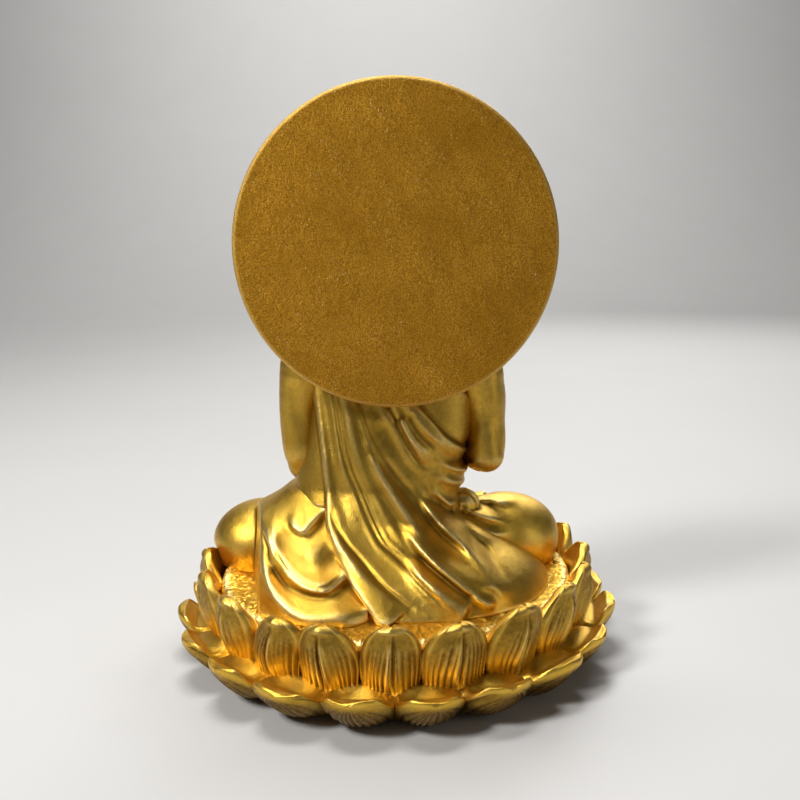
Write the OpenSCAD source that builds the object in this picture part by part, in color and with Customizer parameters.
// Seated Buddha on a two-row lotus throne, with a flat round halo behind the head.
// Millimetres, +Z up. The figure faces -Y, so its own left side is +X.
// The origin is the centre of the underside.

/* [Lotus throne] */
// Radius to the tips of the lower petals
lower_tip_r = 52.5; // [51.5:0.5:54]
// Height of the lower petals' tips
lower_tip_z = 11.2; // [10.8:0.2:12.4]
// Radius to the tips of the upper petals
upper_tip_r = 46.3; // [45.5:0.1:47]
// Height of the upper petals' tips
upper_tip_z = 22.6; // [21:0.2:24]
// Radius of the felt pad under the throne
pad_r = 41; // [36:0.5:41]
// Thickness of the felt pad
pad_t = 1; // [0.8:0.1:1.2]
// Height of the seat that the figure sits on
seat_z = 17; // [16.5:0.1:17.5]

/* [Halo] */
// Diameter of the halo
halo_d = 70; // [64:1:72]
// Thickness of the halo
halo_t = 3; // [2.6:0.1:3.4]
// Height of the halo's centre
halo_z = 95.3; // [93:0.1:97]
// Sideways place of the halo's centre
halo_x = -1.8; // [-2.5:0.1:2.5]
// Depth of the halo's flat back
halo_back_y = 15.75; // [15.75:0.05:16.5]

/* [Figure] */
// Height of the middle of the head
head_z = 92.5; // [92:0.1:93]
// Height of the shoulders
shoulder_z = 68.5; // [68:0.1:69]
// Height of the elbows
elbow_z = 46.5; // [46:0.1:47]
// Depth of the folds carved in the outer robe
fold_depth = 0.9; // [0.3:0.1:1.2]

/* [Hidden] */
function two_digits(i) = i < 10 ? str("0", i) : str(i);

petals_per_row = 20;
petal_step = 360 / petals_per_row;
// Where each row starts, turned from +Y; the rows are half a petal apart.
lower_start = 7;
upper_start = lower_start - petal_step / 2;
lower_names = [for (i = [1:petals_per_row]) str("lower_petal_", two_digits(i))];
upper_names = [for (i = [1:petals_per_row]) str("upper_petal_", two_digits(i))];

gold = "#c99a35";
dark_gold = "#8a6420";

// A petal stays this far inside its share of the circle.
petal_gap = 0.1;
sector_slope = tan(petal_step / 2 - petal_gap);
core_r = 40.5;
core_upper_r = 42.3;
row_split_z = 7.3;
core_top_z = 15;
// Room inside the upper petals.
bowl_r = 42.9;
fringe_teeth = 96;

// Upper petals: side profile at the middle and at the edges, and the height where neighbours part.
upper_foot_z = row_split_z + 0.1;
upper_part_z = 17.3;
upper_middle = [[upper_foot_z, 44.9], [10, 45.7], [14, upper_tip_r + 0.7],
                [18, upper_tip_r + 0.8], [21, upper_tip_r + 0.3], [upper_tip_z, upper_tip_r]];
upper_edge = [[upper_foot_z, 43.7], [12, 44.2], [17, 44.4], [upper_tip_z, 45.2]];
upper_inside = [[upper_foot_z, 42.5], [14, 42.9], [17, 43.4], [upper_tip_z, 44.8]];
upper_levels = [upper_foot_z, 11, 14.5, upper_part_z, 19.6, 21.3, 22.3, upper_tip_z];

// Lower petals: heights of the rim, of the dished top and of the underside, outwards from the core.
lower_part_r = 46;
lower_rim = [[core_r, 7.2], [43.6, 7.2], [lower_part_r, 7.9], [49, 9.8], [lower_tip_r, lower_tip_z]];
lower_dish = [[core_r, 7], [43.6, 7], [46, 7.2], [48, 8], [51, 10], [lower_tip_r, lower_tip_z - 0.1]];
lower_keel = [[core_r, 0.5], [44.4, 0.5], [46.5, 1.8], [49, 4.2], [51.2, 7.4],
              [lower_tip_r, lower_tip_z - 1]];
lower_flank = [[core_r, 1.4], [43.6, 1.8], [lower_part_r, 6.4], [49, 8.4],
               [lower_tip_r, lower_tip_z - 0.9]];
lower_stations = [core_r, 43.6, lower_part_r, 48, 50, 51.5, 52.2, lower_tip_r];

// The robe's drape: centre, half width and half depth of its section at each height.
drape_x = [[seat_z, -4], [22, -3.5], [28, -1], [34, 1.5], [41, 3.2], [48, 2.5], [56, 1], [73, 0]];
drape_y = [[seat_z, 4], [28, 3], [41, 2], [56, 1], [73, 0.6]];
drape_w = [[seat_z, 34], [22, 31], [28, 26], [34, 21], [41, 17.2], [48, 17.3], [56, 18.2],
           [62, 18.8], [68, 18.6], [71, 15], [73, 10]];
drape_back = [[seat_z, 28], [22, 25.5], [28, 20], [34, 15.5], [41, 12.4], [48, 11.8], [56, 11.4],
              [61, 10.9], [68, 10], [71, 8], [73, 5.5]];
drape_front = [[seat_z, 20], [28, 16], [41, 12.6], [56, 12], [66, 11.6], [70, 9.5], [73, 6.5]];
drape_levels = [seat_z, 20, 23, 26, 29, 32, 36, 41, 47, 54, 61, 66, 69, 71, 73];
drape_square = 2.3;
robe_t = 1.5;
folds_around = 22;
fold_lean = 4.6;

// The body, from its own left side; sideways values are mirrored for the right.
hip = [12, 1, 27];
left_knee = [34.2, -13, 24];
right_knee = [-30.6, -13, 23.5];
knee_r = 10;
cloth_t = 1.7;
// Height of each leg's upturned foot; the right leg is folded on top.
left_foot_z = 29.5;
right_foot_z = 31;
shoulder = [20, 1.5, shoulder_z];
left_elbow = [21.3, 2.6, elbow_z + 1];
right_elbow = [-22.4, 2.8, elbow_z - 0.2];
elbow_r = 4.8;
wrist = [10.5, -18.5, 40.4];
palm_z = 38.8;
neck_r = 5.2;
skull = [8.6, 9.4, 10.6];
head_centre = [0, 0.6, head_z];
hair_t = 1;
curl_r = 2;
topknot_z = head_z + 13.4;
topknot_r = 5.6;
ear_x = 9.1;

peg_r = 1.5;
peg_depth = 2;
peg_reach = 7;
peg_heights = [head_z + 1, shoulder_z - 3];
relief_t = 0.6;
halo_front_y = halo_back_y - halo_t;
ray_count = 24;

function mirrored(p) = [-p.x, p.y, p.z];

// ---- Helpers ----

// Solid skinned over rings of equal length, each anticlockwise seen from the last ring's side.
module loft(rings) {
    n = len(rings[0]);
    last = len(rings) - 1;
    walls = [
        for (i = [0:last - 1])
            for (j = [0:n - 1])
                let (k = (j + 1) % n)
                    each [[i * n + j, (i + 1) * n + j, (i + 1) * n + k],
                          [i * n + j, (i + 1) * n + k, i * n + k]]
    ];
    first_cap = [for (j = [0:n - 1]) j];
    last_cap = [for (j = [n - 1:-1:0]) last * n + j];
    polyhedron([for (ring = rings) each ring], concat([first_cap], walls, [last_cap]));
}

module ball(p, r, fn = 16) {
    translate(p) sphere(r, $fn = fn);
}

module egg(p, radii, fn = 16) {
    translate(p) scale(radii) sphere(1, $fn = fn);
}

// Limb through points [x, y, z, radius], one hull for each stretch.
module limb(points, fn = 14) {
    for (i = [0:len(points) - 2])
        hull()
            for (p = [points[i], points[i + 1]])
                ball([p.x, p.y, p.z], p[3], fn);
}

// ---- Lotus throne ----

// Width of a petal past the point where neighbours part: an arch that closes at the tip.
function arch(at, from, to, half) =
    at <= from ? half : max(0.8, half * pow(1 - pow((at - from) / (to - from), 2), 0.6));

function upper_ring(z) =
    let (half = arch(z, upper_part_z, upper_tip_z, 7.05),
         out = function (u) lookup(z, upper_edge)
                   + (lookup(z, upper_middle) - lookup(z, upper_edge)) * (1 - u * u),
         back = function (u) lookup(z, upper_inside) - 0.2 * u * u,
         place = function (u, y) [u * min(half, y * sector_slope), y, z])
    concat([for (u = [1:-0.5:-1]) place(u, out(u))],
           [for (u = [-1:1]) place(u, back(u))]);

function lower_ring(y) =
    let (half = min(arch(y, lower_part_r, lower_tip_r, 7.2), y * sector_slope),
         top = function (u) lookup(y, lower_dish)
                   + (lookup(y, lower_rim) - lookup(y, lower_dish)) * u * u,
         under = function (u) lookup(y, lower_keel)
                     + (lookup(y, lower_flank) - lookup(y, lower_keel)) * u * u)
    concat([for (u = [-1:0.5:1]) [u * half, y, top(u)]],
           [for (u = [1:-0.5:-1]) [u * half, y, under(u)]]);

module upper_petal(i) {
    color(gold)
        rotate(upper_start + petal_step * i)
            loft([for (z = upper_levels) upper_ring(z)]);
}

module lower_petal(i) {
    color(gold)
        rotate(lower_start + petal_step * i)
            loft([for (y = lower_stations) lower_ring(y)]);
}

module felt_pad() {
    color("#33302c") cylinder(r = pad_r - 1, h = pad_t, $fn = 96);
}

module lotus_core() {
    color(gold)
        rotate_extrude($fn = 96)
            polygon([[0, pad_t], [core_r, pad_t], [core_r, row_split_z],
                     [core_upper_r, row_split_z], [core_upper_r, core_top_z], [0, core_top_z]]);
}

// Seat with a fringe of stamens round its edge.
module lotus_seat() {
    fringe_t = seat_z - core_top_z;
    color(gold) {
        translate([0, 0, core_top_z]) cylinder(r = 41, h = fringe_t, $fn = 96);
        translate([0, 0, core_top_z])
            linear_extrude(fringe_t - 0.4)
                polygon([for (i = [0:2 * fringe_teeth - 1])
                    let (a = 180 * i / fringe_teeth, r = i % 2 == 0 ? 42.3 : 41.4)
                        r * [cos(a), sin(a)]]);
    }
}

// ---- Body ----

module leg_mass(knee, side, foot_z, grow = 0) {
    ankle = [-side * 3, -26.5, foot_z - 3];
    limb([[side * hip.x, hip.y, hip.z, 9.5 + grow], [knee.x, knee.y, knee.z, knee_r + grow]], 12);
    limb([[knee.x - side * 2, knee.y - 4, knee.z - 1, 8 + grow],
          [side * 16, -23, foot_z - 9, 6.4 + grow],
          [ankle.x, ankle.y, ankle.z, 4.6 + grow]], 12);
}

// Sole-up foot that rests on the other thigh.
module foot_mass(side, foot_z) {
    heel = [-side * 7, -25.5, foot_z - 0.5];
    ball_of_foot = [-side * 19, -21.5, foot_z - 0.6];
    limb([[-side * 3, -26.5, foot_z - 3, 4.4], [heel.x, heel.y, heel.z, 4],
          [ball_of_foot.x, ball_of_foot.y, ball_of_foot.z, 3.2]], 14);
    for (toe = [0:4])
        hull() {
            ball([ball_of_foot.x, ball_of_foot.y - 2.4 + 1.3 * toe, foot_z + 0.4], 1, 8);
            ball([-side * (24.5 - 0.6 * toe), -24 + 1.6 * toe, foot_z - 0.2], 0.9, 8);
        }
}

module left_leg_mass() {
    leg_mass(left_knee, 1, left_foot_z);
    foot_mass(1, left_foot_z);
}

module right_leg_mass() {
    leg_mass(right_knee, -1, right_foot_z);
    foot_mass(-1, right_foot_z);
}

// Keeps what lies on the seat, inside the ring of upper petals and above it.
module above_seat() {
    intersection() {
        children();
        union() {
            translate([0, 0, seat_z]) cylinder(r = bowl_r, h = 60, $fn = 36);
            translate([0, 0, upper_tip_z + 0.1]) cylinder(r = 60, h = 60, $fn = 8);
        }
    }
}

module left_leg() {
    color(gold)
        difference() {
            above_seat() left_leg_mass();
            right_leg_mass();
            torso_mass();
        }
}

module right_leg() {
    color(gold)
        difference() {
            above_seat() right_leg_mass();
            torso_mass();
        }
}

function drape_ring(z, inset, depth, n) = [
    for (i = [0:n - 1])
        let (a = 360 * i / n,
             w = lookup(z, drape_w) - inset,
             d = lookup(z, sin(a) > 0 ? drape_back : drape_front) - inset,
             r = pow(pow(abs(cos(a)) / w, drape_square) + pow(abs(sin(a)) / d, drape_square),
                     -1 / drape_square),
             carve = depth * max(0, sin(a)) * (1 + sin(folds_around * a / 2 - fold_lean * 2 * z)) / 2,
             s = r - carve)
            [lookup(z, drape_x) + s * cos(a), lookup(z, drape_y) + s * sin(a), z]
];

module drape(inset, depth, n) {
    loft([for (z = drape_levels) drape_ring(z, inset, depth, n)]);
}

module torso_mass() {
    drape(robe_t, 0, 24);
    limb([[-14, 1.5, shoulder_z - 2, 6], [-6, 0.5, shoulder_z + 3, 5.4], [0, 0, shoulder_z + 4, neck_r],
          [6, 0.5, shoulder_z + 3, 5.4], [14, 1.5, shoulder_z - 2, 6]], 16);
    limb([[0, 0, shoulder_z + 4, neck_r], [0, 0.4, head_z - 12, neck_r]], 16);
    for (side = [-1, 1])
        hull() {
            egg([side * 8, -6, shoulder_z - 6], [7, 4.2, 5.2], 14);
            egg([side * 5, -6, shoulder_z - 8], [5, 4, 4], 14);
        }
    hull() {
        egg([1.5, -5, 43], [8, 4.4, 7], 14);
        egg([1.5, -5, 38], [8, 4.4, 6], 14);
    }
}

module torso() {
    color(gold)
        difference() {
            torso_mass();
            arm_mass(shoulder, left_elbow, wrist);
            arm_mass(mirrored(shoulder), right_elbow, mirrored(wrist));
            head_mass();
            peg_holes();
        }
}

// Side-on outline of the outer robe's left edge, from the shoulder down to the hem.
robe_edge = [[22, 74], [19, 64], [17, 56], [15.6, 46], [15.4, 37], [13.9, 30.5], [9.8, 24], [5.4, seat_z]];

// Region behind the body that the outer robe covers.
module robe_back_region() {
    translate([0, 60, 0])
        rotate([90, 0, 0])
            linear_extrude(60)
                polygon(concat(robe_edge, [[-60, seat_z], [-60, 40], [-19, 62], [2, 76], [10, 80]]));
}

// Region in front: a band from the left shoulder to the right flank.
module robe_front_region() {
    translate([0, 0.01, 0])
        rotate([90, 0, 0])
            linear_extrude(40)
                polygon([[22, 74], [22, 30], [-30, 30], [-30, 44], [-14, 46], [-2, 54], [6, 66], [9, 76]]);
}

// Rolled border of the outer robe where it crosses the chest.
module robe_border() {
    limb([[-16.6, -3.5, 46.5, 1.2], [-13, -8.2, 46.8, 1.2], [-8.5, -11.2, 49, 1.2], [-3, -11.8, 53.2, 1.2],
          [2, -11.6, 59, 1.2], [6, -10.6, 65.5, 1.2], [8.4, -7.6, 70, 1.2], [9, -3, 73.6, 1.2],
          [8.4, 1.4, 73.8, 1.2]], 8);
}

module outer_robe() {
    color(gold)
        difference() {
            union() {
                intersection() {
                    drape(0, fold_depth, 64);
                    union() {
                        robe_back_region();
                        robe_front_region();
                    }
                }
                above_seat() robe_border();
            }
            torso_mass();
            leg_mass(right_knee, -1, right_foot_z, cloth_t);
            leg_mass(left_knee, 1, left_foot_z, cloth_t);
            arm_mass(shoulder, left_elbow, wrist);
            arm_mass(mirrored(shoulder), right_elbow, mirrored(wrist));
            halo_space();
        }
}

module lower_robe() {
    color(gold)
        difference() {
            above_seat() {
                leg_mass(left_knee, 1, left_foot_z, cloth_t);
                leg_mass(right_knee, -1, right_foot_z, cloth_t);
                difference() {
                    drape(0.1, 0, 28);
                    robe_back_region();
                    translate([-60, -60, 41]) cube([120, 120, 60]);
                }
                swags();
            }
            robe_back_region_clear();
            torso_mass();
            left_leg_mass();
            right_leg_mass();
        }
}

// Hanging folds of the lower robe over the left hip.
module swags() {
    limb([[26, 11, 34, 1.1], [25.2, 15, 28, 1.1], [22.5, 18.8, 25, 1.1], [17, 21.5, 24.4, 1.1],
          [12.5, 22.4, 26, 1.1]], 8);
    limb([[30.5, 8, 32, 1.1], [29, 15, 24, 1.1], [24.5, 21, 20.5, 1.1], [17.5, 25.6, 19.6, 1.1],
          [9.5, 27.6, 20.6, 1.1]], 8);
}

// The lower robe stops where the outer robe's drape covers it.
module robe_back_region_clear() {
    intersection() {
        drape(0, 0, 28);
        robe_back_region();
    }
}

module arm_mass(top, elbow, hand) {
    limb([[top.x, top.y, top.z, 6.3], [elbow.x, elbow.y, elbow.z, elbow_r]]);
    limb([[elbow.x, elbow.y, elbow.z, elbow_r], [(elbow.x + hand.x) / 2, (elbow.y + hand.y) / 2, 42.4, 4.5],
          [hand.x, hand.y, hand.z, 3.2]]);
}

module left_arm() {
    color(gold)
        difference() {
            arm_mass(shoulder, left_elbow, wrist);
            leg_mass(left_knee, 1, left_foot_z, cloth_t);
        }
}

module right_arm() {
    color(gold)
        difference() {
            arm_mass(mirrored(shoulder), right_elbow, mirrored(wrist));
            leg_mass(right_knee, -1, right_foot_z, cloth_t);
        }
}

// Open hand lying palm up in the lap; the right hand lies on the left one.
module hand_mass(side) {
    z = side > 0 ? palm_z : palm_z + 3.2;
    y = side > 0 ? -21.6 : -20.2;
    limb([[side * 9.6, -19, z + 1.6, 3], [side * 5.5, y, z, 2.6], [side * 0.5, y, z - 0.3, 2.2]], 12);
    for (finger = [0:3])
        hull() {
            ball([side * 1.5, y - 2.4 + 1.6 * finger, z - 0.2], 1, 8);
            ball([-side * (7.6 - 0.7 * abs(finger - 1)), y - 2.4 + 1.6 * finger, z + 0.4], 0.9, 8);
        }
    hull() {
        ball([side * 6.2, -22.6, z + 0.8], 1.4, 8);
        ball([side * 0.9, -25.2, palm_z + 6.6], 0.85, 8);
    }
}

module left_hand() {
    color(gold)
        difference() {
            hand_mass(1);
            hand_mass(-1);
            arm_mass(shoulder, left_elbow, wrist);
        }
}

module right_hand() {
    color(gold)
        difference() {
            hand_mass(-1);
            arm_mass(mirrored(shoulder), right_elbow, mirrored(wrist));
        }
}

// ---- Head ----

module head_mass() {
    c = head_centre;
    hull() {
        egg(c + [0, 0, 1.4], skull, 20);
        egg(c + [0, -2, -7.2], [5.4, 6, 4.8], 14);
    }
    hull() {
        egg(c + [0, -8.8, -2.6], [1.3, 1.9, 1.2], 10);
        egg(c + [0, -8.4, 2.2], [0.9, 1, 1], 10);
    }
    hull() {
        egg(c + [0, -8.3, -5.9], [2.2, 1, 0.6], 10);
        egg(c + [0, -8, -6.9], [1.6, 0.9, 0.6], 10);
    }
    hull() egg(c + [0, -6.6, -9.8], [2.6, 1.8, 2], 10);
    for (side = [-1, 1]) {
        hull() egg(c + [side * 3.5, -7.7, 0.3], [2.2, 1.1, 1], 10);
        hull() {
            egg(c + [side * 1.4, -8.7, 2.9], [0.7, 0.6, 0.4], 8);
            egg(c + [side * 4.4, -7.6, 3.4], [0.9, 0.6, 0.4], 8);
        }
        hull() egg(c + [side * 5.4, -4.4, -3.4], [2.6, 3, 3], 12);
    }
}

module head() {
    color(gold)
        difference() {
            head_mass();
            peg_holes();
        }
}

module hair_mass() {
    c = head_centre;
    hull() egg(c + [0, 0.5, 2], skull + [hair_t, hair_t, hair_t], 20);
    hull() egg([c.x, c.y, topknot_z], [topknot_r, topknot_r, topknot_r + 0.8], 14);
    for (level = [0:4])
        let (up = -20 + 22 * level, count = round(12 * cos(up)))
            for (i = [0:count - 1])
                let (a = 360 * (i + (level % 2) / 2) / count)
                    if (sin(a) > -0.45 || up > 30)
                        curl(c + [0, 0.5, 2] + [(skull.x + 1.1) * cos(a) * cos(up),
                                                (skull.y + 1) * sin(a) * cos(up),
                                                (skull.z + 1) * sin(up)]);
    for (level = [0:2])
        let (up = 6 + 36 * level, count = max(1, round(8 * cos(up))))
            for (i = [0:count - 1])
                let (a = 360 * (i + (level % 2) / 2) / count)
                    curl([c.x, c.y, topknot_z] + topknot_r * [cos(a) * cos(up), sin(a) * cos(up), 1.14 * sin(up)]);
}

module curl(p) {
    hull() ball(p, curl_r, 6);
}

// Hairline: what lies in front of and below it is face.
module face_space() {
    c = head_centre;
    hull() {
        translate(c + [-7.6, -14, 4.6]) cube([15.2, 8.4, 0.1]);
        translate(c + [-9.8, -14, -2]) cube([19.6, 10.4, 0.1]);
        translate(c + [-9.8, -14, -16]) cube([19.6, 10.4, 0.1]);
    }
    translate(c + [-12, -14, -24]) cube([24, 30, 16.5]);
}

module hair() {
    color(gold)
        difference() {
            hair_mass();
            face_space();
            head_mass();
            halo_space();
            peg_holes();
        }
}

module ear_mass(side) {
    c = head_centre;
    limb([[side * ear_x, c.y + 0.6, head_z + 2.6, 1.3], [side * (ear_x + 0.5), c.y + 1.2, head_z, 1.5],
          [side * ear_x, c.y + 0.4, head_z - 4, 1.1], [side * (ear_x - 0.8), c.y + 0.2, head_z - 8.4, 1.5]], 10);
    limb([[side * (ear_x + 0.3), c.y - 0.6, head_z + 2.2, 0.8], [side * (ear_x + 0.6), c.y + 2.2, head_z + 1.8, 0.8],
          [side * (ear_x + 0.4), c.y + 2.2, head_z - 1.4, 0.8], [side * ear_x, c.y + 1, head_z - 4.4, 0.8],
          [side * (ear_x - 0.3), c.y, head_z - 7, 0.8], [side * (ear_x - 0.5), c.y - 0.6, head_z - 5, 0.7]], 8);
}

module ear(side) {
    color(gold)
        difference() {
            ear_mass(side);
            head_mass();
            hair_mass();
        }
}

module left_ear() {
    ear(1);
}

module right_ear() {
    ear(-1);
}

// ---- Halo ----

// Lays a shape drawn upright about +Z so that +Z points to the back, at the halo's centre.
module at_halo(y) {
    translate([halo_x, y, halo_z]) rotate([-90, 0, 0]) children();
}

module halo_disc() {
    edge = 0.8;
    r = halo_d / 2;
    color(dark_gold)
        difference() {
            at_halo(halo_front_y)
                rotate_extrude($fn = 128)
                    union() {
                        square([r - edge, halo_t]);
                        square([r, halo_t - edge]);
                        translate([r - edge, halo_t - edge]) circle(edge, $fn = 32);
                    }
            peg_holes();
        }
}

// Raised rim and a ring of lotus rays on the front of the halo.
module halo_relief() {
    r = halo_d / 2;
    color(gold)
        at_halo(halo_front_y - relief_t) {
            difference() {
                cylinder(r = r - 1, h = relief_t, $fn = 128);
                translate([0, 0, -1]) cylinder(r = r - 3, h = relief_t + 2, $fn = 128);
            }
            for (i = [0:ray_count - 1])
                rotate(360 * i / ray_count)
                    translate([r - 9.8, 0, 0])
                        linear_extrude(relief_t)
                            polygon([[-5.5, 0], [-2, -1.9], [2.6, -2.3], [5.4, -1.2], [7.6, 0],
                                     [5.4, 1.2], [2.6, 2.3], [-2, 1.9]]);
        }
}

module peg_shape(r) {
    for (z = peg_heights)
        translate([0, halo_front_y - peg_reach, z])
            rotate([-90, 0, 0])
                cylinder(r = r, h = peg_reach + peg_depth, $fn = 32);
}

module peg_holes() {
    peg_shape(peg_r);
}

// Two round pegs that locate the halo on the head and on the upper back.
module halo_pegs() {
    color("#b8a06a") peg_shape(peg_r);
}

// Room for the halo and the relief on its front.
module halo_space() {
    at_halo(halo_front_y) cylinder(r = halo_d / 2, h = halo_t, $fn = 96);
    at_halo(halo_front_y - relief_t)
        difference() {
            cylinder(r = halo_d / 2 - 1, h = relief_t + 0.01, $fn = 96);
            translate([0, 0, -1]) cylinder(r = halo_d / 2 - 15.4, h = relief_t + 2, $fn = 96);
        }
}

felt_pad();
lotus_core();
lotus_seat();
for (i = [0:petals_per_row - 1])
    lower_petal(i);
for (i = [0:petals_per_row - 1])
    upper_petal(i);
left_leg();
right_leg();
lower_robe();
torso();
outer_robe();
left_arm();
right_arm();
left_hand();
right_hand();
head();
hair();
left_ear();
right_ear();
halo_disc();
halo_relief();
halo_pegs();
